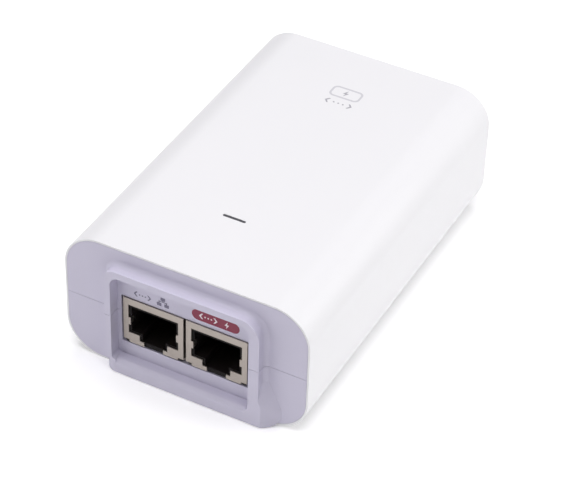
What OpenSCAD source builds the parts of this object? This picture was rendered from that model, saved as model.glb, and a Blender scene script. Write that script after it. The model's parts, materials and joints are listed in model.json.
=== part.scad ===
// Power-over-Ethernet injector: a mains supply in a seamless white sleeve, with two shielded
// modular jacks in a raised boss at the front (-Y) and a three-pin mains inlet at the rear (+Y).
// The underside is at Z = 0 and the origin is at the middle of the whole length and width.

/* [Enclosure] */
// Width of the sleeve
case_w = 64; // [64:0.5:68]
// Height of the sleeve
case_h = 35.3; // [35.3:0.1:38]
// Whole length, from the front of the port boss to the rear face
case_l = 100; // [100:1:110]
// Radius of the sleeve's four long corners
corner_r = 9.5; // [8.5:0.5:10]
// Wall of the outer sleeve
sleeve_wall = 1.8; // [1.6:0.1:2]
// Wall of the two inner shells
shell_wall = 1.4; // [1.2:0.1:1.5]
// Height of the joint between the two inner shells
parting_z = 17.1; // [16:0.1:18]

/* [Port boss] */
// Distance from the middle to the right side of the raised frame round the two ports
boss_right = 20.8; // [20.4:0.1:21.5]
// Distance from the middle to the frame's left side
boss_left = 19.8; // [19.6:0.1:21.5]
// Height of the frame's upper side above the underside
boss_top = 30.8; // [30:0.1:32]
// How far the frame stands out of the front
boss_proud = 3; // [2:0.1:4]
// Radius of the frame's upper right corner
boss_r = 5; // [3:0.5:6]
// Radius of the frame's upper left corner
boss_left_r = 3; // [2.5:0.5:6]
// Radius of the hollow fillet between the frame and the front
boss_fillet = 1.5; // [1:0.1:2]
// Width of the sunk port panel inside the frame
recess_w = 36.2; // [35.6:0.1:37]
// Lower edge of the port panel
recess_low = 4.05; // [3.5:0.05:5]
// Upper edge of the port panel
recess_high = 29; // [27:0.1:29.4]
// Radius of the port panel's upper corners
recess_r = 2.5; // [1:0.5:3]
// Radius of the port panel's lower corners
recess_low_r = 1; // [0.5:0.1:2.5]

/* [Ports] */
// Width of a jack's shield
jack_w = 16; // [15.6:0.1:16]
// Height of a jack's shield
jack_h = 13.2; // [13:0.1:13.6]
// Depth of a jack
jack_l = 21.2; // [20:0.1:21.5]
// Distance between the two jacks' centres
jack_pitch = 16.7; // [16.5:0.1:17]
// Thickness of the shield's sheet metal
shield_t = 0.3; // [0.25:0.05:0.4]

/* [Mains inlet] */
// Width of the inlet's moulding
inlet_w = 28; // [27:0.5:29]
// Height of the inlet's moulding
inlet_h = 20.4; // [20:0.1:21]
// Depth of the socket that the mains connector enters
socket_depth = 16.5; // [15:0.5:17]

/* [Circuit board] */
// Width of the circuit board
board_w = 55; // [54:0.5:55]
// Thickness of the circuit board
board_t = 1.6; // [1:0.1:1.6]
// Height of the board's upper face above the underside
board_top = 8.4; // [8:0.1:8.5]

/* [Status light] */
// Distance of the light's slot behind the front face
light_back = 22.8; // [22.5:0.1:23.5]
// Length of the slot across the case
light_w = 6; // [4:0.5:7]
// Width of the slot along the case
light_t = 0.8; // [0.6:0.1:1]

/* [Hidden] */
$fn = 72;
front = -case_l / 2 + boss_proud;
boss_front = -case_l / 2;
rear = case_l / 2;
middle_z = case_h / 2;

// Sleeve and shells
rim_inset = 0.5;
rim_depth = 2.05;
plate_gap = 0.05;
plate_t = 2;
shell_gap = 0.2;
shell_inset = sleeve_wall + shell_gap;
hollow_inset = shell_inset + shell_wall;
shell_rear = rear - sleeve_wall - 0.3;
inner_front = front + plate_t;
inner_rear = shell_rear - shell_wall;
seam_gap = 0.05;
floor_z = hollow_inset;
ceiling_z = case_h - hollow_inset;
panel_sink = 0.2;
label_w = 44;
label_l = 56;
label_y = 14;
label_sink = 0.3;
label_t = 0.2;

// Lip under the port panel: round at the left, a ramp at the right that leans into the frame's side
lip_low = 0.25;
lip_round = 1.4;
lip_left = -boss_left - 0.4;
ramp_start = boss_right + 0.7;
ramp_end = boss_right + 4.6;
ramp_r = 3;
ramp_h = 16;
lean_z = 8;
lean_turn = -47.5;
lean_angle = 17;

// Snap hooks on the lower shell and their pockets in the sleeve
hook_y = front + 12;
hook_z = 12;
hook_l = 8;
hook_h = 2;
hook_proud = 0.9;
hook_clear = 0.2;

// Panel opening for the jacks
opening_w = 34;
opening_low = 7.9;
opening_high = 21.75;

// Jacks: shield window, housing cavity and contacts
jack_front = front - 0.15;
jack_low = board_top + 0.1;
window_w = 13.25;
window_low = 11.45;
window_high = 19.85;
notch_w = 7.4;
notch_low = 9.75;
slot_w = 5.1;
foot_w = 1.5;
foot_h = 0.7;
spring_low = 13.9;
spring_h = 2.1;
spring_in = 0.55;
spring_l = 1.6;
leg_w = 1.4;
leg_rows = [jack_front + 8, jack_front + 17];
cavity_w = 11.9;
cavity_low = 11.9;
cavity_high = 19;
cavity_l = 12.5;
latch_w = 6.2;
latch_low = 9.7;
latch_l = 10;
groove_w = 8.6;
groove_high = 20;
contact_n = 8;
contact_pitch = 1.02;
contact_w = 0.45;
contact_t = 0.35;
contact_l = 8.6;
contact_slope = 18;
housing_gap = 0.1;

// Mains inlet
inlet_z = board_top + 0.1 + inlet_h / 2;
inlet_front = 28;
inlet_nose = rear - 0.2;
flange_w = 30;
flange_h = 21.6;
flange_t = 1.2;
window_gap = 0.2;
socket_w = 24.2;
socket_h = 16.6;
socket_cut = 4.5;
socket_floor = inlet_nose - socket_depth;
blade_w = 2;
blade_h = 4;
blade_l = 14.5;
blade_pitch = 14;
blade_offset = 2;

// Circuit board and its fixings
board_low = board_top - board_t;
board_front = inner_front + 0.6;
board_rear = inner_rear - 1;
corner_post = [23.4, 0];
front_post_y = front + 6.5;
rear_post_y = rear - 6.5;
post_d = 6.4;
board_notch_d = 7.6;
head_d = 5.4;
head_t = 2;
case_screw_d = 2.6;
case_screw_l = 12;
case_screw_z = 11;
counterbore_d = 5.8;
board_posts = [[-23, front + 15], [23, front + 15], [9.8, 23.6]];
board_post_d = 6;
board_screw_d = 2.5;
board_screw_l = 5;

// Status light
light_y = front + light_back;
led_h = 2;
pipe_t = 1.4;
pipe_gap = 0.2;
window_play = 0.03;

// ---------------------------------------------------------------- helpers

// A flat outline drawn in X and Z, made solid from y0 to y1
module prism(y0, y1) {
    translate([0, y1, 0])
        rotate([90, 0, 0])
            linear_extrude(y1 - y0)
                children();
}

// A rectangle with round corners about the origin
module round_rect(w, h, r) {
    square([w - 2 * r, h], center = true);
    square([w, h - 2 * r], center = true);
    for (x = [-1, 1], y = [-1, 1])
        translate([x * (w / 2 - r), y * (h / 2 - r)])
            circle(r);
}

// The case's cross-section, moved in by an inset
module case_outline(inset) {
    translate([0, middle_z])
        round_rect(case_w - 2 * inset, case_h - 2 * inset, corner_r - inset);
}

// A box given by its middle in X and Y, its foot and its size
module block(pos, foot, size) {
    translate([pos[0] - size[0] / 2, pos[1] - size[1] / 2, foot])
        cube(size);
}

// An upright round part given by its middle in X and Y and its foot
module drum(pos, foot, d, h) {
    translate([pos[0], pos[1], foot])
        cylinder(d = d, h = h);
}

// A disc that stands on edge and faces along Y
module disc(pos, foot, d, t) {
    translate([pos[0], pos[1] + t / 2, foot + d / 2])
        rotate([90, 0, 0])
            cylinder(d = d, h = t);
}

// Two round leads under a radial part, through the board
module leads(pos, pitch, top, along_y = false) {
    lead_d = 0.8;
    lead_out = 1.2;
    for (s = [-0.5, 0.5])
        translate([pos[0] + (along_y ? 0 : s * pitch), pos[1] + (along_y ? s * pitch : 0),
                   board_low - lead_out])
            cylinder(d = lead_d, h = top - board_low + lead_out, $fn = 24);
}

// The places of the four posts in the corners of the shells
module at_corner_posts() {
    for (x = [-corner_post[0], corner_post[0]], y = [front_post_y, rear_post_y])
        translate([x, y, 0])
            children();
}

// ---------------------------------------------------------------- enclosure

module outer_sleeve() {
    color("white")
    difference() {
        prism(front, rear) case_outline(0);
        prism(front - 1, front + rim_depth) case_outline(rim_inset);
        prism(front + 1, rear - sleeve_wall) case_outline(sleeve_wall);
        prism(rear - sleeve_wall - 1, rear + 1)
            translate([0, inlet_z])
                square([inlet_w + 2 * window_gap, inlet_h + 2 * window_gap], center = true);
        light_slot(case_h - sleeve_wall - 1, sleeve_wall + 2, light_w, light_t);
        for (s = [-1, 1])
            block([s * (case_w / 2 - sleeve_wall + hook_proud / 2), hook_y],
                  hook_z - hook_clear,
                  [hook_proud + 0.1, hook_l + 2 * hook_clear, hook_h + 2 * hook_clear]);
        block([0, label_y], -1, [label_w, label_l, 1 + label_sink]);
    }
}

// A slot with round ends, as long and wide as given
module light_slot(foot, h, w, t) {
    translate([0, light_y, foot])
        linear_extrude(h) {
            square([w - t, t], center = true);
            for (s = [-1, 1])
                translate([s * (w - t) / 2, 0])
                    circle(d = t, $fn = 24);
        }
}

// Both inner shells as one, before the joint divides them
module inner_case() {
    difference() {
        union() {
            prism(front, inner_front) case_outline(rim_inset + plate_gap);
            prism(front + 1, shell_rear) case_outline(shell_inset);
            port_frame();
            port_lip();
        }
        prism(inner_front, inner_rear) case_outline(hollow_inset);
        prism(boss_front - 1, front + panel_sink)
            panel_outline();
        lip_edge_waste();
        prism(boss_front - 1, inner_front + 1)
            translate([0, (opening_low + opening_high) / 2])
                square([opening_w, opening_high - opening_low], center = true);
        prism(inner_rear - 1, rear)
            translate([0, inlet_z])
                square([inlet_w + 2 * window_gap, inlet_h + 2 * window_gap], center = true);
    }
}

// The port panel's outline, with smaller corners below than above
module panel_outline() {
    low_z = recess_low + recess_low_r;
    for (s = [-1, 1]) {
        translate([s * (recess_w / 2 - recess_r), recess_high - recess_r])
            circle(recess_r);
        translate([s * (recess_w / 2 - recess_low_r), low_z])
            circle(recess_low_r);
    }
    translate([-recess_w / 2, low_z])
        square([recess_w, recess_high - recess_r - low_z]);
    translate([-recess_w / 2 + recess_r, low_z])
        square([recess_w - 2 * recess_r, recess_high - low_z]);
    translate([-recess_w / 2 + recess_low_r, recess_low])
        square([recess_w - 2 * recess_low_r, recess_low_r]);
}

// What is cut off to round the lip's upper front edge
module lip_edge_waste() {
    length = recess_w - 2 * recess_low_r;
    translate([-length / 2, 0, 0])
        rotate([90, 0, 90])
            linear_extrude(length)
                difference() {
                    translate([boss_front - 1, recess_low - lip_round])
                        square([lip_round + 1, lip_round + 0.5]);
                    translate([boss_front + lip_round, recess_low - lip_round])
                        circle(lip_round);
                }
}

// The raised frame round the ports, square below, round above, with a hollow fillet at its foot
module port_frame() {
    left_x = -boss_left + boss_left_r;
    left_z = boss_top - boss_left_r;
    right_x = boss_right - boss_r;
    right_z = boss_top - boss_r;
    prism(boss_front, front + 1) {
        translate([left_x, left_z])
            circle(boss_left_r);
        translate([right_x, right_z])
            circle(boss_r);
        translate([-boss_left, recess_low])
            square([boss_left, left_z - recess_low]);
        translate([0, recess_low])
            square([boss_right, right_z - recess_low]);
        translate([left_x, recess_low])
            square([right_x - left_x, boss_top - recess_low]);
    }
    translate([left_x, front, boss_top])
        rotate([180, -90, 0])
            linear_extrude(right_x - left_x)
                frame_fillet();
    translate([boss_right, front, right_z])
        rotate([180, 0, 0])
            linear_extrude(right_z - recess_low)
                frame_fillet();
    translate([-boss_left, front, recess_low])
        rotate([0, 0, 180])
            linear_extrude(left_z - recess_low)
                frame_fillet();
    translate([right_x, front, right_z])
        rotate([90, 0, 0])
            rotate_extrude(angle = 90)
                translate([boss_r, 0])
                    frame_fillet();
    translate([left_x, front, left_z])
        rotate([90, 0, 0])
            rotate([0, 0, 90])
                rotate_extrude(angle = 90)
                    translate([boss_left_r, 0])
                        frame_fillet();
}

// The fillet's section: X points away from the frame's side and Y out of the front
module frame_fillet() {
    dip = 0.02;
    root = 1;
    side = boss_fillet - dip;
    difference() {
        translate([-root, -root])
            square(side + root);
        translate([side, side])
            circle(boss_fillet);
    }
}

// The lip under the frame
module port_lip() {
    bar_left = lip_left + boss_proud;
    intersection() {
        prism(boss_front, front + 1)
            translate([lip_left, lip_low])
                square([boss_right - lip_left, recess_low - lip_low]);
        linear_extrude(boss_top) {
            translate([bar_left, front])
                circle(boss_proud);
            translate([lip_left, front])
                square([boss_right - lip_left, 1]);
            translate([bar_left, boss_front])
                square([boss_right - bar_left, boss_proud]);
        }
    }
    lip_ramp();
}

// The ramp at the lip's right end: its lower corner is round and its upper part leans back
module lip_ramp() {
    root_x = boss_right - 1;
    size = 2 * ramp_h;
    intersection() {
        prism(boss_front, front + 1) {
            translate([root_x, lip_low])
                square([ramp_end - ramp_r - root_x, ramp_h]);
            translate([root_x, lip_low + ramp_r])
                square([ramp_end - root_x, ramp_h - ramp_r]);
            translate([ramp_end - ramp_r, lip_low + ramp_r])
                circle(ramp_r);
        }
        linear_extrude(boss_top)
            polygon([[root_x, boss_front], [ramp_start, boss_front], [ramp_end, front],
                     [ramp_end, front + 1], [root_x, front + 1]]);
        translate([boss_right, boss_front, lean_z])
            rotate([0, -lean_angle, lean_turn])
                translate([-size, -size / 2, -size / 2])
                    cube(size);
    }
}

module upper_shell() {
    pilot_d = 2.4;
    pilot_l = 9;
    color("lavender")
    difference() {
        union() {
            intersection() {
                inner_case();
                block([0, 0], parting_z + seam_gap, [case_w, case_l + 2, case_h]);
            }
            intersection() {
                at_corner_posts()
                    translate([0, 0, parting_z + seam_gap])
                        cylinder(d = post_d, h = case_h);
                prism(inner_front - 1, inner_rear + 1) case_outline(hollow_inset - 1);
            }
        }
        at_corner_posts()
            translate([0, 0, parting_z - 1])
                cylinder(d = case_screw_d, h = pilot_l);
        light_slot(ceiling_z - 1, case_h, light_w + 2 * pipe_gap, pipe_t + 2 * pipe_gap);
    }
}

module lower_shell() {
    color("thistle")
    difference() {
        union() {
            intersection() {
                inner_case();
                block([0, 0], -1, [case_w, case_l + 2, parting_z - seam_gap + 1]);
            }
            intersection() {
                at_corner_posts()
                    cylinder(d = post_d, h = parting_z - seam_gap);
                prism(inner_front - 1, inner_rear + 1) case_outline(hollow_inset - 1);
            }
            for (p = board_posts)
                drum(p, floor_z - 0.5, board_post_d, board_low - floor_z + 0.5);
            for (s = [-1, 1])
                block([s * (case_w / 2 - shell_inset + hook_proud / 2 - 0.5), hook_y],
                      hook_z, [hook_proud + 1, hook_l, hook_h]);
        }
        at_corner_posts() {
            cylinder(d = counterbore_d, h = case_screw_z);
            cylinder(d = case_screw_d + 0.6, h = case_h);
        }
        for (p = board_posts)
            drum(p, floor_z - 0.6, board_screw_d, board_low);
    }
}

// A plain label in the shallow pocket of the underside
module rating_label() {
    edge = 0.2;
    color("gainsboro")
        block([0, label_y], label_sink - label_t,
              [label_w - 2 * edge, label_l - 2 * edge, label_t]);
}

// ---------------------------------------------------------------- ports

// The shape cut out of the front of a shield
module shield_window() {
    translate([-window_w / 2, window_low])
        square([window_w, window_high - window_low]);
    translate([-notch_w / 2, notch_low])
        square([notch_w, window_high - notch_low]);
    translate([-slot_w / 2, jack_low - 1])
        square([slot_w, window_high - jack_low + 1]);
    for (s = [-1, 1])
        translate([s * (jack_w - foot_w) / 2, jack_low])
            square([foot_w, 2 * foot_h], center = true);
}

module jack_shield(x) {
    inner_w = jack_w - 2 * shield_t;
    translate([x, 0, 0])
    difference() {
        union() {
            difference() {
                block([0, jack_front + jack_l / 2], jack_low, [jack_w, jack_l, jack_h]);
                block([0, jack_front + jack_l / 2], jack_low - 1,
                      [inner_w, jack_l - 2 * shield_t, jack_h - shield_t + 1]);
            }
            for (s = [-1, 1], y = leg_rows)
                block([s * (jack_w - shield_t) / 2, y], board_low - 1,
                      [shield_t, leg_w, jack_low - board_low + 2]);
        }
        prism(jack_front - 1, jack_front + 1) shield_window();
    }
    for (s = [-1, 1])
        block([x + s * (window_w - spring_in) / 2, jack_front + spring_l / 2], spring_low,
              [spring_in, spring_l, spring_h]);
}

module jack_housing(x) {
    body_w = jack_w - 2 * shield_t - 2 * housing_gap;
    body_front = jack_front + shield_t + 0.05;
    body_l = jack_l - 2 * shield_t - 0.15;
    translate([x, 0, 0])
    difference() {
        block([0, body_front + body_l / 2], jack_low,
              [body_w, body_l, jack_h - shield_t - housing_gap]);
        prism(body_front - 1, body_front + cavity_l)
            translate([-cavity_w / 2, cavity_low])
                square([cavity_w, cavity_high - cavity_low]);
        prism(body_front - 1, body_front + latch_l)
            translate([-latch_w / 2, latch_low])
                square([latch_w, cavity_low - latch_low + 1]);
        prism(body_front + 1, body_front + cavity_l)
            translate([-groove_w / 2, cavity_high - 1])
                square([groove_w, groove_high - cavity_high + 1]);
        for (s = [-1, 1])
            block([s * (window_w - spring_in) / 2, body_front], spring_low - 0.3,
                  [spring_in + 0.4, 2 * spring_l + 0.4, spring_h + 0.6]);
    }
}

// Spring contacts: each hangs from the roof and slopes down towards the back
module jack_contacts(x) {
    body_front = jack_front + shield_t + 0.05;
    start_y = body_front + 1.6;
    end_y = body_front + cavity_l;
    for (i = [0 : contact_n - 1])
        translate([x + (i - (contact_n - 1) / 2) * contact_pitch - contact_w / 2, start_y,
                   groove_high - contact_t]) {
            cube([contact_w, end_y - start_y, contact_t]);
            rotate([-contact_slope, 0, 0])
                cube([contact_w, contact_l, contact_t]);
        }
}

module lan_jack_shield() {
    color("silver") jack_shield(-jack_pitch / 2);
}

module lan_jack_housing() {
    color("dimgray") jack_housing(-jack_pitch / 2);
}

module lan_jack_contacts() {
    color("gold") jack_contacts(-jack_pitch / 2);
}

module poe_jack_shield() {
    color("silver") jack_shield(jack_pitch / 2);
}

module poe_jack_housing() {
    color("dimgray") jack_housing(jack_pitch / 2);
}

module poe_jack_contacts() {
    color("gold") jack_contacts(jack_pitch / 2);
}

// ---------------------------------------------------------------- mains inlet

// The socket's outline: a rectangle with its two upper corners cut off
module socket_outline() {
    w = socket_w / 2;
    h = socket_h / 2;
    polygon([[-w, -h], [w, -h], [w, h - socket_cut], [w - socket_cut, h],
             [-w + socket_cut, h], [-w, h - socket_cut]]);
}

module inlet_body() {
    color("dimgray")
    difference() {
        union() {
            block([0, (inlet_front + inlet_nose) / 2], inlet_z - inlet_h / 2,
                  [inlet_w, inlet_nose - inlet_front, inlet_h]);
            block([0, inner_rear - flange_t / 2 - 0.1], inlet_z - inlet_h / 2,
                  [flange_w, flange_t, flange_h]);
        }
        prism(socket_floor, inlet_nose + 1)
            translate([0, inlet_z])
                socket_outline();
        at_blades(0)
            block([0, (inlet_front + socket_floor) / 2], -blade_h / 2 - 0.01,
                  [blade_w + 0.02, socket_floor - inlet_front + 2, blade_h + 0.02]);
    }
}

// Line and neutral side by side, and earth above between them
module at_blades(y) {
    for (p = [[-blade_pitch / 2, -blade_offset], [0, blade_offset], [blade_pitch / 2, -blade_offset]])
        translate([p[0], y, inlet_z + p[1]])
            children();
}

module inlet_blades() {
    tail_t = 1;
    tail_top = inlet_z + blade_offset;
    color("silver") {
        at_blades(0)
            block([0, (inlet_front + socket_floor + blade_l) / 2], -blade_h / 2,
                  [blade_w, socket_floor + blade_l - inlet_front, blade_h]);
        for (p = [[-blade_pitch / 2, -blade_offset], [0, blade_offset],
                  [blade_pitch / 2, -blade_offset]])
            block([p[0], inlet_front - tail_t / 2], board_low - 1,
                  [blade_w, tail_t, inlet_z + p[1] + blade_h / 2 - board_low + 1]);
    }
}

// ---------------------------------------------------------------- board and fixings

module circuit_board() {
    length = board_rear - board_front;
    color("darkgreen")
    difference() {
        block([0, (board_front + board_rear) / 2], board_low, [board_w, length, board_t]);
        at_corner_posts()
            cylinder(d = board_notch_d, h = case_h);
        for (p = board_posts)
            drum(p, 0, board_screw_d + 0.5, case_h);
        for (side = [-1, 1], s = [-1, 1], y = leg_rows)
            block([side * jack_pitch / 2 + s * (jack_w - shield_t) / 2, y], 0,
                  [shield_t + 0.3, leg_w + 0.4, case_h]);
        for (p = [-blade_pitch / 2, 0, blade_pitch / 2])
            block([p, inlet_front - 0.5], 0, [blade_w + 0.4, 1.4, case_h]);
        for (l = lead_places)
            for (s = [-0.5, 0.5])
                drum([l[0] + (l[3] ? 0 : s * l[2]), l[1] + (l[3] ? s * l[2] : 0)], 0,
                     lead_hole_d, case_h);
    }
}

module insulation_sheet() {
    sheet_t = 0.3;
    sheet_w = 39;
    sheet_front = front + 20;
    sheet_rear = rear - 8;
    color("ivory")
    difference() {
        block([0, (sheet_front + sheet_rear) / 2], floor_z + 0.05,
              [sheet_w, sheet_rear - sheet_front, sheet_t]);
        drum(board_posts[2], 0, board_post_d + 1, case_h);
    }
}

module case_screws() {
    color("silver")
        at_corner_posts() {
            translate([0, 0, case_screw_z - head_t])
                difference() {
                    cylinder(d = head_d, h = head_t);
                    cross_recess();
                }
            translate([0, 0, case_screw_z - 0.01])
                cylinder(d = case_screw_d - 0.1, h = case_screw_l);
        }
}

// The cross in the foot of a screw head at Z = 0
module cross_recess() {
    arm_l = 2.8;
    arm_w = 0.7;
    depth = 1.1;
    for (a = [0, 90])
        rotate([0, 0, a])
            block([0, 0], -0.1, [arm_l, arm_w, depth + 0.1]);
}

module board_screws() {
    color("silver")
        for (p = board_posts)
            translate([p[0], p[1], board_top]) {
                translate([0, 0, head_t - 0.4])
                    mirror([0, 0, 1])
                        difference() {
                            cylinder(d = head_d, h = head_t - 0.4);
                            cross_recess();
                        }
                translate([0, 0, -board_screw_l])
                    cylinder(d = board_screw_d - 0.1, h = board_screw_l + 0.01);
            }
}

// ---------------------------------------------------------------- mains side

fuse_pos = [-21, 38];
fuse_size = [8.5, 4, 8];
varistor_pos = [-21, 33];
varistor_d = 10;
varistor_t = 3.8;
thermistor_pos = [-21, 27.5];
thermistor_d = 9;
thermistor_t = 4;
x_cap_pos = [21.2, 34.2];
x_cap_size = [6.5, 11.6, 12];
choke_pos = [20.9, 21.6];
choke_d = 12;
choke_hole = 6;
choke_h = 6;
bridge_pos = [-20, 19.2];
bridge_size = [14.5, 3.6, 11];
bulk_pos = [-17, 6];
bulk_d = 18;
bulk_h = 20;
lead_foot = board_top + 0.6;

module mains_fuse() {
    color("saddlebrown")
        block(fuse_pos, board_top + 0.3, fuse_size);
    color("silver")
        leads(fuse_pos, 5, board_top + 0.4);
}

module surge_varistor() {
    color("royalblue")
        disc(varistor_pos, lead_foot, varistor_d, varistor_t);
    color("silver")
        leads(varistor_pos, 5, lead_foot + 2);
}

module inrush_thermistor() {
    color("darkolivegreen")
        disc(thermistor_pos, lead_foot, thermistor_d, thermistor_t);
    color("silver")
        leads(thermistor_pos, 5, lead_foot + 2);
}

module x_capacitor() {
    color("goldenrod")
        block(x_cap_pos, board_top + 0.3, x_cap_size);
    color("silver")
        leads(x_cap_pos, 10, board_top + 0.4, true);
}

// A ferrite ring that lies flat on a pair of coils
module choke_core() {
    wire_d = 0.9;
    color("darkslategray")
        translate([choke_pos[0], choke_pos[1], board_top + 1.4 + wire_d])
            rotate_extrude()
                translate([choke_hole / 2, 0])
                    square([(choke_d - choke_hole) / 2, choke_h]);
}

// Two coils wound round opposite sides of the ring
module choke_windings() {
    wire = 0.9;
    gap = 0.05;
    arc = 110;
    foot = board_top + 1.4;
    color("chocolate")
        for (a = [0, 180])
            translate([choke_pos[0], choke_pos[1], foot])
                rotate([0, 0, a - arc / 2])
                    rotate_extrude(angle = arc)
                        difference() {
                            translate([choke_hole / 2 - wire, 0])
                                square([(choke_d - choke_hole) / 2 + 2 * wire,
                                        choke_h + 2 * wire]);
                            translate([choke_hole / 2 - gap, wire - gap])
                                square([(choke_d - choke_hole) / 2 + 2 * gap,
                                        choke_h + 2 * gap]);
                        }
}

module bridge_rectifier() {
    color("dimgray")
        block(bridge_pos, board_top + 1.5, bridge_size);
    color("silver")
        leads(bridge_pos, 10, board_top + 1.6);
}

// A can with a rolled edge at its top and foot
module can(pos, d, h) {
    roll = 0.8;
    translate([pos[0], pos[1], board_top + 0.05])
        rotate_extrude() {
            square([d / 2 - roll, h]);
            translate([0, roll])
                square([d / 2, h - 2 * roll]);
            for (z = [roll, h - roll])
                translate([d / 2 - roll, z])
                    circle(roll, $fn = 24);
        }
}

module bulk_capacitor() {
    color("steelblue")
        can(bulk_pos, bulk_d, bulk_h);
    color("silver")
        leads(bulk_pos, 7.5, board_top + 0.1, true);
}

// ---------------------------------------------------------------- power stage

trafo_pos = [8.8, 4.5];
trafo_foot = board_top + 1;
core_size = [25, 12.5, 18.5];
core_leg = 6.3;
core_yoke = 3.3;
bobbin_d = 19.4;
bobbin_t = 0.8;
coil_gap = 0.1;
sink_pos = [1, 17.4];
sink_size = [20, 1.5, 16];
transistor_pos = [0, 20.4];
transistor_size = [10, 4.4, 9];
controller_pos = [-4, 12];
optocoupler_pos = [-6.5, -10.4];
y_cap_pos = [-6.4, -16];

// The window of one half of the core, between its legs
function core_window() = [(core_size[0] - core_leg) / 2 - core_yoke,
                          core_size[2] - 2 * core_yoke];

module transformer_core() {
    window = core_window();
    color("darkslategray")
    difference() {
        block(trafo_pos, trafo_foot, core_size);
        for (s = [-1, 1])
            block([trafo_pos[0] + s * (core_leg + window[0]) / 2, trafo_pos[1]],
                  trafo_foot + core_yoke, [window[0], core_size[1] + 1, window[1]]);
    }
}

// Two flanges and the tube between them, round the core's middle leg
module transformer_bobbin() {
    window = core_window();
    foot = trafo_foot + core_yoke + coil_gap;
    inner_h = window[1] - 2 * coil_gap;
    flange = core_leg + 2 * window[0] - 2 * coil_gap;
    tube = core_leg + 2 * bobbin_t;
    color("black")
    difference() {
        union() {
            for (z = [foot, foot + inner_h - bobbin_t])
                block(trafo_pos, z, [flange, bobbin_d, bobbin_t]);
            block(trafo_pos, foot, [tube, core_size[1] + 2 * bobbin_t, inner_h]);
        }
        block(trafo_pos, foot - 1,
              [core_leg + 2 * coil_gap, core_size[1] + 2 * coil_gap, inner_h + 2]);
    }
}

module transformer_winding() {
    window = core_window();
    foot = trafo_foot + core_yoke + coil_gap + bobbin_t;
    coil_h = window[1] - 2 * coil_gap - 2 * bobbin_t;
    outer = core_leg + 2 * window[0] - 1;
    tube = core_leg + 2 * bobbin_t;
    corner = 2;
    color("gold")
    difference() {
        translate([trafo_pos[0], trafo_pos[1], foot + 0.02])
            linear_extrude(coil_h - 0.04)
                round_rect(outer, bobbin_d - 1, corner);
        block(trafo_pos, foot - 1, [tube + 0.04, core_size[1] + 2 * bobbin_t + 0.04, coil_h + 2]);
    }
}

module primary_heat_sink() {
    foot_l = 5;
    color("silver") {
        block(sink_pos, board_top + 0.1, sink_size);
        block([sink_pos[0] + sink_size[0] / 2 - foot_l / 2, sink_pos[1]], board_low - 1,
              [1.5, 1, board_top - board_low + 1.2]);
    }
}

// A flat power package with its metal tab against a heat sink and three legs
module power_package(size, leg_top) {
    leg_pitch = 2.54;
    leg_t = 0.7;
    color("dimgray")
        block([0, 0], leg_top, size);
    color("silver")
        for (i = [-1, 0, 1])
            block([i * leg_pitch, 0], board_low - 1, [leg_t, leg_t, leg_top - board_low + 1.1]);
}

module power_transistor() {
    translate([transistor_pos[0], transistor_pos[1], 0])
        power_package(transistor_size, board_top + 4);
}

module controller_chip() {
    size = [5, 4, 1.6];
    color("black")
        block(controller_pos, board_low - size[2], size);
}

module optocoupler() {
    size = [6.4, 4.6, 3.4];
    color("whitesmoke")
        block(optocoupler_pos, board_top + 0.4, size);
    color("silver")
        leads(optocoupler_pos, 5.08, board_top + 0.5);
}

module y_capacitor() {
    color("deepskyblue")
        disc(y_cap_pos, lead_foot, 8, 3.4);
    color("silver")
        leads(y_cap_pos, 5, lead_foot + 2);
}

// ---------------------------------------------------------------- output side

rectifier_pos = [22.6, -13];
out_sink_pos = [25.7, -7];
out_sink_size = [1.5, 22, 13.5];
out_cap_places = [[13.4, -13], [2.4, -13]];
out_cap_d = 10;
out_cap_h = 19;
inductor_pos = [-16, -10.6];
line_places = [[-18.6, -21.7], [12.4, -21.7]];
line_size = [15.6, 6.2, 5.6];
poe_chip_pos = [-8, -30];
suppressor_places = [[-14, -19], [-4, -19], [6, -19], [16, -19]];

module output_rectifier() {
    translate([rectifier_pos[0], rectifier_pos[1], 0])
        rotate([0, 0, 90])
            power_package(transistor_size, board_top + 3);
}

module output_heat_sink() {
    color("silver") {
        block(out_sink_pos, board_top + 0.1, out_sink_size);
        block([out_sink_pos[0], out_sink_pos[1] + 8], board_low - 1,
              [1, 1.5, board_top - board_low + 1.2]);
    }
}

module output_capacitors() {
    for (p = out_cap_places) {
        color("midnightblue")
            can(p, out_cap_d, out_cap_h);
        color("silver")
            leads(p, 5, board_top + 0.1, true);
    }
}

// A drum core with its coil between two flanges
module output_inductor() {
    flange_t = 1.2;
    flange_d = 9.6;
    coil_d = 8.8;
    coil_h = 8;
    color("darkslategray")
        for (z = [0, flange_t + coil_h])
            drum(inductor_pos, board_top + 0.3 + z, flange_d, flange_t);
    color("chocolate")
        drum(inductor_pos, board_top + 0.3 + flange_t, coil_d, coil_h);
    color("silver")
        leads(inductor_pos, 5, board_top + 0.4);
}

module line_transformers() {
    color("black")
        for (p = line_places)
            block(p, board_top + 0.1, line_size);
}

module poe_controller_chip() {
    size = [10, 7.5, 2];
    color("black")
        block(poe_chip_pos, board_low - size[2], size);
}

module surge_suppressors() {
    size = [5, 3.6, 2.2];
    color("dimgray")
        for (p = suppressor_places)
            block(p, board_low - size[2], size);
}

// ---------------------------------------------------------------- status light

module status_led() {
    led_size = [3, 2, led_h];
    color("honeydew")
        block([0, light_y], board_top, led_size);
}

// A clear bar that carries the light up to the window in the sleeve
module light_pipe() {
    foot = board_top + led_h + 0.2;
    top = case_h - sleeve_wall - 0.15;
    color("aliceblue")
        light_slot(foot, top - foot, light_w, pipe_t);
}

// The dark lens that closes the slot in the sleeve
module light_window() {
    below_top = 0.1;
    foot = case_h - sleeve_wall - 0.1;
    color("darkslategray")
        light_slot(foot, case_h - below_top - foot,
                   light_w - 2 * window_play, light_t - 2 * window_play);
}

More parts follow.
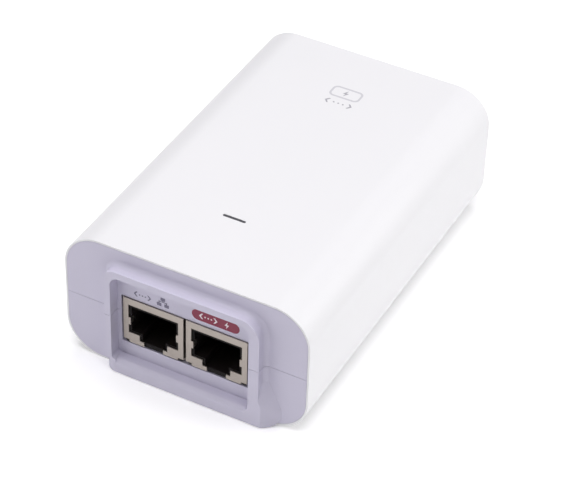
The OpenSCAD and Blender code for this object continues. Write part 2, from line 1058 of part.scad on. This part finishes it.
// Middle, lead pitch and lead direction of every part whose round leads pass through the board
lead_hole_d = 1.1;
lead_places = [
    [fuse_pos[0], fuse_pos[1], 5, false],
    [varistor_pos[0], varistor_pos[1], 5, false],
    [thermistor_pos[0], thermistor_pos[1], 5, false],
    [x_cap_pos[0], x_cap_pos[1], 10, true],
    [bridge_pos[0], bridge_pos[1], 10, false],
    [bulk_pos[0], bulk_pos[1], 7.5, true],
    [optocoupler_pos[0], optocoupler_pos[1], 5.08, false],
    [y_cap_pos[0], y_cap_pos[1], 5, false],
    [inductor_pos[0], inductor_pos[1], 5, false],
    [out_cap_places[0][0], out_cap_places[0][1], 5, true],
    [out_cap_places[1][0], out_cap_places[1][1], 5, true],
    [rectifier_pos[0], rectifier_pos[1], 0, false]
];

outer_sleeve();
upper_shell();
lower_shell();
rating_label();
lan_jack_shield();
lan_jack_housing();
lan_jack_contacts();
poe_jack_shield();
poe_jack_housing();
poe_jack_contacts();
inlet_body();
inlet_blades();
circuit_board();
insulation_sheet();
case_screws();
board_screws();
mains_fuse();
surge_varistor();
inrush_thermistor();
x_capacitor();
choke_core();
choke_windings();
bridge_rectifier();
bulk_capacitor();
transformer_core();
transformer_bobbin();
transformer_winding();
power_transistor();
primary_heat_sink();
controller_chip();
optocoupler();
y_capacitor();
output_rectifier();
output_heat_sink();
output_capacitors();
output_inductor();
line_transformers();
poe_controller_chip();
surge_suppressors();
status_led();
light_pipe();
light_window();
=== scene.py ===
"""Looks of a network power injector: a white sleeve, a front of the same plastic painted grey as
shade with two shielded jacks in a raised frame, and a mains inlet at the rear. Everything rides
on the one rigid body."""

import json
import math

import bmesh
import bpy
from mathutils import Matrix, Vector


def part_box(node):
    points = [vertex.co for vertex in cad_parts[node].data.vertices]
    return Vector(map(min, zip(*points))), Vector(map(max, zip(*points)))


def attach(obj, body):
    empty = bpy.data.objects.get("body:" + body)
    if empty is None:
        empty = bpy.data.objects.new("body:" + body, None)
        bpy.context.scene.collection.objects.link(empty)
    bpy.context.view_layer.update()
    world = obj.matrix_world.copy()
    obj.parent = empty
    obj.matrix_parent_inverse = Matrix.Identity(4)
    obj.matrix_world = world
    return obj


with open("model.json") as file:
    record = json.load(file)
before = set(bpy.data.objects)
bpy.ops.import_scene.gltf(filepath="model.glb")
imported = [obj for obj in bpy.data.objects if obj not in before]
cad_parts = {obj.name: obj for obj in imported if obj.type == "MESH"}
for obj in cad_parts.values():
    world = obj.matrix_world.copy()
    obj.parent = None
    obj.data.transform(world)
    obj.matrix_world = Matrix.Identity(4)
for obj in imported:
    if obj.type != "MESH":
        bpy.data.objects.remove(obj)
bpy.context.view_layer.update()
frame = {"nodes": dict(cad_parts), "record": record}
NODES = frame["nodes"]
MM = 0.001

# Places read from the CAD parts, in metres
SLEEVE_LO, SLEEVE_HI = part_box("outer_sleeve")
FACE_Y = SLEEVE_LO.y
TOP_Z = SLEEVE_HI.z


# ---------------------------------------------------------------- materials

def srgb(*levels):
    """An 8-bit display colour as linear values."""
    def linear(v):
        v /= 255
        return v / 12.92 if v <= 0.04045 else ((v + 0.055) / 1.055) ** 2.4
    return tuple(linear(v) for v in levels)


# Noise scales are in features per metre
CLOUD_SCALE, CLOUD_DETAIL = 45.0, 5.0
GLOSS_SCALE, GLOSS_DETAIL = 260.0, 3.0
GRAIN_DETAIL = 2.0
GRAIN_DEPTH = 0.05 * MM
LEAST_ROUGH = 0.02


def material(name, colour, rough=0.5, metal=0.0, spec=0.5, tint=0.04, grain=1200.0,
             grain_bump=0.03, rough_var=0.08):
    """A moulded or plated surface: a faint cloudy tint, a fine grain and an uneven gloss."""
    m = bpy.data.materials.new(name)
    m.use_nodes = True
    nodes, links = m.node_tree.nodes, m.node_tree.links
    bsdf = nodes["Principled BSDF"]
    bsdf.inputs["Metallic"].default_value = metal
    bsdf.inputs["Specular IOR Level"].default_value = spec
    place = nodes.new("ShaderNodeTexCoord")

    def noise(scale, detail):
        tex = nodes.new("ShaderNodeTexNoise")
        tex.inputs["Scale"].default_value = scale
        tex.inputs["Detail"].default_value = detail
        links.new(place.outputs["Object"], tex.inputs["Vector"])
        return tex.outputs["Fac"]

    cloud = nodes.new("ShaderNodeMix")
    cloud.data_type = "RGBA"
    base = Vector(colour)
    cloud.inputs["A"].default_value = (*(base * (1 - tint)), 1)
    cloud.inputs["B"].default_value = (*[min(1.0, v) for v in base * (1 + tint)], 1)
    links.new(noise(CLOUD_SCALE, CLOUD_DETAIL), cloud.inputs["Factor"])
    links.new(cloud.outputs["Result"], bsdf.inputs["Base Color"])

    gloss = nodes.new("ShaderNodeMapRange")
    gloss.inputs["To Min"].default_value = max(LEAST_ROUGH, rough - rough_var)
    gloss.inputs["To Max"].default_value = min(1.0, rough + rough_var)
    links.new(noise(GLOSS_SCALE, GLOSS_DETAIL), gloss.inputs["Value"])
    links.new(gloss.outputs["Result"], bsdf.inputs["Roughness"])

    bump = nodes.new("ShaderNodeBump")
    bump.inputs["Strength"].default_value = grain_bump
    bump.inputs["Distance"].default_value = GRAIN_DEPTH
    links.new(noise(grain, GRAIN_DETAIL), bump.inputs["Height"])
    links.new(bump.outputs["Normal"], bsdf.inputs["Normal"])
    return m


# Each finish: its linear colour, then what sets it apart from a plain moulded surface
FINISHES = {
    # case
    "white_plastic": dict(colour=(0.775, 0.772, 0.785), rough=0.42, tint=0.008, grain=2500,
                          grain_bump=0.05, rough_var=0.05),
    # grey_plastic is the white case plastic made darker and more violet: painted shade on the
    # front
    "grey_plastic": dict(colour=(0.549, 0.525, 0.64), rough=0.5, tint=0.015, grain=3000,
                         grain_bump=0.12, rough_var=0.06),
    "label_film": dict(colour=(0.8, 0.8, 0.81), rough=0.35, tint=0.01),
    # ports and inlet
    "shield_metal": dict(colour=(0.385, 0.345, 0.31), rough=0.42, metal=1.0, tint=0.06,
                         grain=900, grain_bump=0.1),
    "jack_plastic": dict(colour=(0.006, 0.004, 0.004), rough=0.6, spec=0.15, tint=0.1),
    "contact_gold": dict(colour=(0.83, 0.62, 0.25), rough=0.25, metal=1.0, tint=0.05),
    "inlet_plastic": dict(colour=(0.02, 0.02, 0.021), rough=0.42, tint=0.1, grain_bump=0.08),
    "blade_metal": dict(colour=(0.72, 0.7, 0.66), rough=0.22, metal=1.0, tint=0.03),
    # board, fixings and components
    "board_laminate": dict(colour=(0.03, 0.16, 0.07), rough=0.3, tint=0.2),
    "insulation_film": dict(colour=(0.75, 0.74, 0.68), rough=0.3, tint=0.02),
    "screw_steel": dict(colour=(0.6, 0.6, 0.6), rough=0.3, metal=1.0, tint=0.04),
    "fuse_plastic": dict(colour=(0.24, 0.1, 0.05), rough=0.4, tint=0.06),
    "varistor_coat": dict(colour=(0.05, 0.16, 0.5), rough=0.3, tint=0.06, grain=500,
                          grain_bump=0.3),
    "thermistor_coat": dict(colour=(0.06, 0.1, 0.07), rough=0.4, tint=0.1, grain=500,
                            grain_bump=0.3),
    "film_capacitor": dict(colour=(0.72, 0.55, 0.1), rough=0.35, tint=0.03),
    "ferrite": dict(colour=(0.07, 0.07, 0.075), rough=0.6, tint=0.15, grain=800, grain_bump=0.3),
    "copper_wire": dict(colour=(0.72, 0.33, 0.16), rough=0.25, metal=1.0, tint=0.1, grain=600,
                        grain_bump=0.4),
    "chip_plastic": dict(colour=(0.03, 0.03, 0.032), rough=0.5, tint=0.1),
    "capacitor_sleeve": dict(colour=(0.02, 0.03, 0.09), rough=0.3, tint=0.05),
    "winding_tape": dict(colour=(0.8, 0.62, 0.1), rough=0.3, tint=0.05),
    "sink_aluminium": dict(colour=(0.75, 0.75, 0.76), rough=0.35, metal=1.0, tint=0.03),
    "opto_plastic": dict(colour=(0.8, 0.8, 0.78), rough=0.4, tint=0.02),
    "safety_capacitor": dict(colour=(0.1, 0.35, 0.62), rough=0.35, tint=0.05),
    # status light
    "led_lens": dict(colour=(0.85, 0.86, 0.84), rough=0.1, tint=0.01),
    "light_pipe_clear": dict(colour=(0.82, 0.84, 0.85), rough=0.08, tint=0.01),
    "light_window_dark": dict(colour=(0.09, 0.09, 0.1), rough=0.15, tint=0.05),
    # printing inks
    "crimson_ink": dict(colour=srgb(128, 12, 54), rough=0.45, tint=0.03),
    "white_ink": dict(colour=(0.78, 0.7, 0.74), rough=0.45, tint=0.02),
    "dark_ink": dict(colour=srgb(110, 106, 128), rough=0.45, tint=0.03),
    "grey_ink": dict(colour=srgb(168, 167, 173), rough=0.45, tint=0.02),
    "pale_ink": dict(colour=srgb(200, 199, 204), rough=0.45, tint=0.02),
}
MATERIALS = {name: material(name, **finish) for name, finish in FINISHES.items()}
for part in frame["record"]["subparts"]:
    slots = NODES[part["node"]].data.materials
    slots.clear()
    slots.append(MATERIALS[part["material_slot"]])


# ---------------------------------------------------------------- softened edges of CAD parts

WELD_GAP = 0.002 * MM
SHARP_ANGLE = math.radians(35)   # edges that turn by more than this are rounded
SOFT_EDGES = {                   # node: (width of the rounding, steps across it)
    "outer_sleeve": (0.18 * MM, 3),
    "upper_shell": (0.35 * MM, 4),
    "lower_shell": (0.35 * MM, 4),
    "inlet_body": (0.3 * MM, 3),
    "inlet_blades": (0.25 * MM, 3),
}


def soften(node, width, steps):
    """Rounds a CAD part's sharp edges a little, with the flat faces kept flat."""
    weld = node.modifiers.new("weld", "WELD")
    weld.merge_threshold = WELD_GAP
    bevel = node.modifiers.new("bevel", "BEVEL")
    bevel.width = width
    bevel.segments = steps
    bevel.limit_method = "ANGLE"
    bevel.angle_limit = SHARP_ANGLE
    bevel.use_clamp_overlap = True
    for face in node.data.polygons:
        face.use_smooth = True
    flat = node.modifiers.new("flat_faces", "WEIGHTED_NORMAL")
    flat.mode = "FACE_AREA"
    flat.weight = 100
    flat.keep_sharp = False


for node_name, (edge_width, edge_steps) in SOFT_EDGES.items():
    soften(NODES[node_name], edge_width, edge_steps)


# ---------------------------------------------------------------- shapes of the printed signs

def stadium(cx, cy, w, h, steps=16):
    """A bar with round ends, as a ring of points."""
    r = h / 2
    ring = []
    for side, start in ((1, 0), (-1, math.pi)):
        for i in range(steps + 1):
            a = start - math.pi / 2 + math.pi * i / steps
            ring.append((cx + side * (w / 2 - r) + r * math.cos(a), cy + r * math.sin(a)))
    return ring


def round_box(cx, cy, w, h, r, steps=8):
    """A rectangle with round corners, as a ring of points."""
    ring = []
    for k, (sx, sy) in enumerate(((1, -1), (1, 1), (-1, 1), (-1, -1))):
        for i in range(steps + 1):
            a = math.radians(-90 + 90 * k) + math.pi / 2 * i / steps
            ring.append((cx + sx * (w / 2 - r) + r * math.cos(a),
                         cy + sy * (h / 2 - r) + r * math.sin(a)))
    return ring


# Corners of a bolt one unit high
BOLT = ((0.1, 0.5), (-0.28, -0.08), (-0.02, -0.08), (-0.1, -0.5), (0.28, 0.08), (0.02, 0.08))


def bolt(cx, cy, h):
    """A plain lightning bolt."""
    return [(cx + x * h, cy + y * h) for x, y in BOLT]


def link_sign(cx, cy, w, h):
    """Two arrow heads with three dots between them, the usual mark for a network link."""
    stroke, depth, dot = h * 0.24, h * 0.42, h * 0.26
    inner_tip = stroke * 1.3
    dot_step = w * 0.17
    marks = []
    for side in (-1, 1):
        tip = cx + side * w / 2
        root = tip - side * depth
        for end_y in (cy - h / 2, cy + h / 2):
            marks.append([(tip, cy), (root, end_y), (root - side * stroke, end_y),
                          (tip - side * inner_tip, cy)])
    for k in (-1, 0, 1):
        marks.append(stadium(cx + k * dot_step, cy, dot, dot))
    return marks


def net_sign(cx, cy, h):
    """One box over two, joined by lines: a plain sign for a network."""
    box_w, box_h, box_r = h * 0.468, h * 0.36, h * 0.054
    line, line_r = h * 0.09, h * 0.018
    reach = h * 0.38
    marks = [round_box(cx, cy + h / 2 - box_h / 2, box_w, box_h, box_r)]
    for side in (-1, 1):
        x = cx + side * reach
        marks.append(round_box(x, cy - h / 2 + box_h / 2, box_w, box_h, box_r))
        marks.append(round_box(x, cy - h * 0.06, line, h * 0.2, line_r))
    marks.append(round_box(cx, cy + h * 0.02, reach * 2 + line, line, line_r))
    marks.append(round_box(cx, cy + h * 0.1, line, h * 0.18, line_r))
    return marks


# ---------------------------------------------------------------- printed signs

PANEL_Y = FACE_Y + 0.2 * MM      # the sunk port panel
INK = 0.02 * MM                  # thickness of one layer of print
INK_ROOT = 0.01 * MM             # how far the print reaches into the surface under it


def on_panel(x, y, lift):
    """A sign's point on the port panel, x across and y up."""
    return x * MM, PANEL_Y - lift, y * MM


def on_top(x, y, lift):
    """A sign's point on the top, x across and y to the rear."""
    return x * MM, y * MM, TOP_Z + lift


def ink(name, put, mat, shapes=(), frames=(), layer=1):
    """Thin printed shapes on a surface. frames are (outer, inner) rings."""
    bm = bmesh.new()
    low, high = -INK_ROOT, INK * layer

    def lifted(ring, lift):
        return [bm.verts.new(put(x, y, lift)) for x, y in ring]

    def wall(a, b):
        for i in range(len(a)):
            j = (i + 1) % len(a)
            bm.faces.new((a[i], a[j], b[j], b[i]))

    for ring in shapes:
        foot, head = lifted(ring, low), lifted(ring, high)
        bm.faces.new(head)
        bm.faces.new(foot[::-1])
        wall(foot, head)
    for outer, inner in frames:
        loops = [lifted(outer, low), lifted(outer, high), lifted(inner, high),
                 lifted(inner, low)]
        for a, b in zip(loops, loops[1:] + loops[:1]):
            wall(a, b)
    bmesh.ops.recalc_face_normals(bm, faces=bm.faces)
    bmesh.ops.triangulate(bm, faces=[f for f in bm.faces if len(f.verts) > 4])
    mesh = bpy.data.meshes.new(name)
    bm.to_mesh(mesh)
    bm.free()
    mesh.materials.append(MATERIALS[mat])
    piece = bpy.data.objects.new(name, mesh)
    bpy.context.scene.collection.objects.link(piece)
    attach(piece, "root")


def jack_head(node):
    """The middle of a jack's top edge, in millimetres across and up."""
    lo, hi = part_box(node)
    return (lo.x + hi.x) / 2 / MM, hi.z / MM


# Signs over the jacks and near the rear of the top: place, then size, in millimetres
DATA_X, DATA_Z = jack_head("lan_jack_shield")
POWER_X, POWER_Z = jack_head("poe_jack_shield")
REAR = SLEEVE_HI.y / MM
PILL = (POWER_X - 0.45, POWER_Z + 2.7, 12.4, 3.0)
PILL_LINK = (POWER_X - 2.35, POWER_Z + 2.7, 4.8, 1.6)
PILL_BOLT = (POWER_X + 2.45, POWER_Z + 2.7, 2.1)
DATA_LINK = (DATA_X - 2.95, DATA_Z + 2.0, 4.6, 1.5)
DATA_NET = (DATA_X + 2.45, DATA_Z + 2.4, 2.6)
TOP_LINK = (0.15, REAR - 21.8, 7.4, 1.9)
TOP_BOLT = (0.0, REAR - 17.3, 2.6)
BADGE_OUTER = (0.1, REAR - 17.3, 8.3, 4.5, 1.4)
BADGE_INNER = (0.1, REAR - 17.3, 7.2, 3.4, 0.9)

ink("port_pill", on_panel, "crimson_ink", [stadium(*PILL)])
ink("port_pill_sign", on_panel, "white_ink",
    link_sign(*PILL_LINK) + [bolt(*PILL_BOLT)], layer=2)
ink("port_sign", on_panel, "dark_ink",
    link_sign(*DATA_LINK) + net_sign(*DATA_NET))
ink("top_sign", on_top, "grey_ink", link_sign(*TOP_LINK) + [bolt(*TOP_BOLT)])
ink("top_frame", on_top, "pale_ink",
    frames=[(round_box(*BADGE_OUTER), round_box(*BADGE_INNER))])

# ---------------------------------------------------------------- camera

AZIMUTH, ELEVATION, ROLL = math.radians(26.962), math.radians(39.516), math.radians(1.865)
CAMERA_AT = Vector((0.19285, -0.37857, 0.35896))
SENSOR_MM, LENS_MM = 36.0, 143.2

scene = bpy.context.scene
scene.view_settings.view_transform = "Standard"
scene.view_settings.look = "None"

back = Vector((math.sin(AZIMUTH) * math.cos(ELEVATION), -math.cos(AZIMUTH) * math.cos(ELEVATION),
               math.sin(ELEVATION)))
level = (-back).cross(Vector((0, 0, 1))).normalized()
upright = level.cross(-back)
right = level * math.cos(ROLL) + upright * math.sin(ROLL)
up = upright * math.cos(ROLL) - level * math.sin(ROLL)
cam_data = bpy.data.cameras.new("camera")
cam_data.sensor_width = SENSOR_MM
cam_data.lens = LENS_MM
cam = bpy.data.objects.new("camera", cam_data)
scene.collection.objects.link(cam)
turn = Matrix((right, up, back)).transposed()
cam.matrix_world = Matrix.Translation(CAMERA_AT) @ turn.to_4x4()
scene.camera = cam

# ---------------------------------------------------------------- light

WORLD_STRENGTH = 0.1
AIM = Vector((0, 0, 0.02))
WHITE = (1, 1, 1)
COOL_WHITE = (0.985, 0.97, 1.0)
SOFTBOXES = {                    # name: (place, side in metres, watts, colour)
    "overhead": ((0.0, 0.03, 0.85), 0.8, 6.3, COOL_WHITE),
    "over_front": ((0.0, -0.3, 0.8), 0.6, 1.75, WHITE),
    "right_back": ((0.7, 0.35, 0.35), 0.5, 2.85, WHITE),
    "left_front": ((-0.6, -0.5, 0.3), 0.5, 1.35, WHITE),
}

world = bpy.data.worlds.new("studio")
scene.world = world
world.use_nodes = True
air = world.node_tree.nodes["Background"].inputs
air["Color"].default_value = (*WHITE, 1)
air["Strength"].default_value = WORLD_STRENGTH


def softbox(name, place, side, watts, colour):
    """A square area light aimed at the middle of the object."""
    light = bpy.data.lights.new(name, "AREA")
    light.shape = "SQUARE"
    light.size = side
    light.energy = watts
    light.color = colour
    lamp = bpy.data.objects.new(name, light)
    scene.collection.objects.link(lamp)
    lamp.location = place
    lamp.rotation_euler = (AIM - Vector(place)).to_track_quat("-Z", "Y").to_euler()


for box_name, settings in SOFTBOXES.items():
    softbox(box_name, *settings)

# ---------------------------------------------------------------- floor

FLOOR_REACH = 6.0                # from the middle to each edge
FLOOR_DROP = 0.02 * MM           # gap under the case, so that the two never share a plane
FLOOR_COLOUR = (0.97, 0.97, 0.97, 1)
FLOOR_ROUGHNESS = 0.9
FLOOR_GLOW = 0.13

floor_mesh = bpy.data.meshes.new("floor")
grid = bmesh.new()
bmesh.ops.create_grid(grid, x_segments=1, y_segments=1, size=FLOOR_REACH)
grid.to_mesh(floor_mesh)
grid.free()
floor = bpy.data.objects.new("floor", floor_mesh)
scene.collection.objects.link(floor)
floor.location.z = -FLOOR_DROP
floor_mat = bpy.data.materials.new("pale_floor")
floor_mat.use_nodes = True
paint = floor_mat.node_tree.nodes["Principled BSDF"].inputs
paint["Base Color"].default_value = FLOOR_COLOUR
paint["Roughness"].default_value = FLOOR_ROUGHNESS
paint["Emission Color"].default_value = (*WHITE, 1)
paint["Emission Strength"].default_value = FLOOR_GLOW
floor_mesh.materials.append(floor_mat)
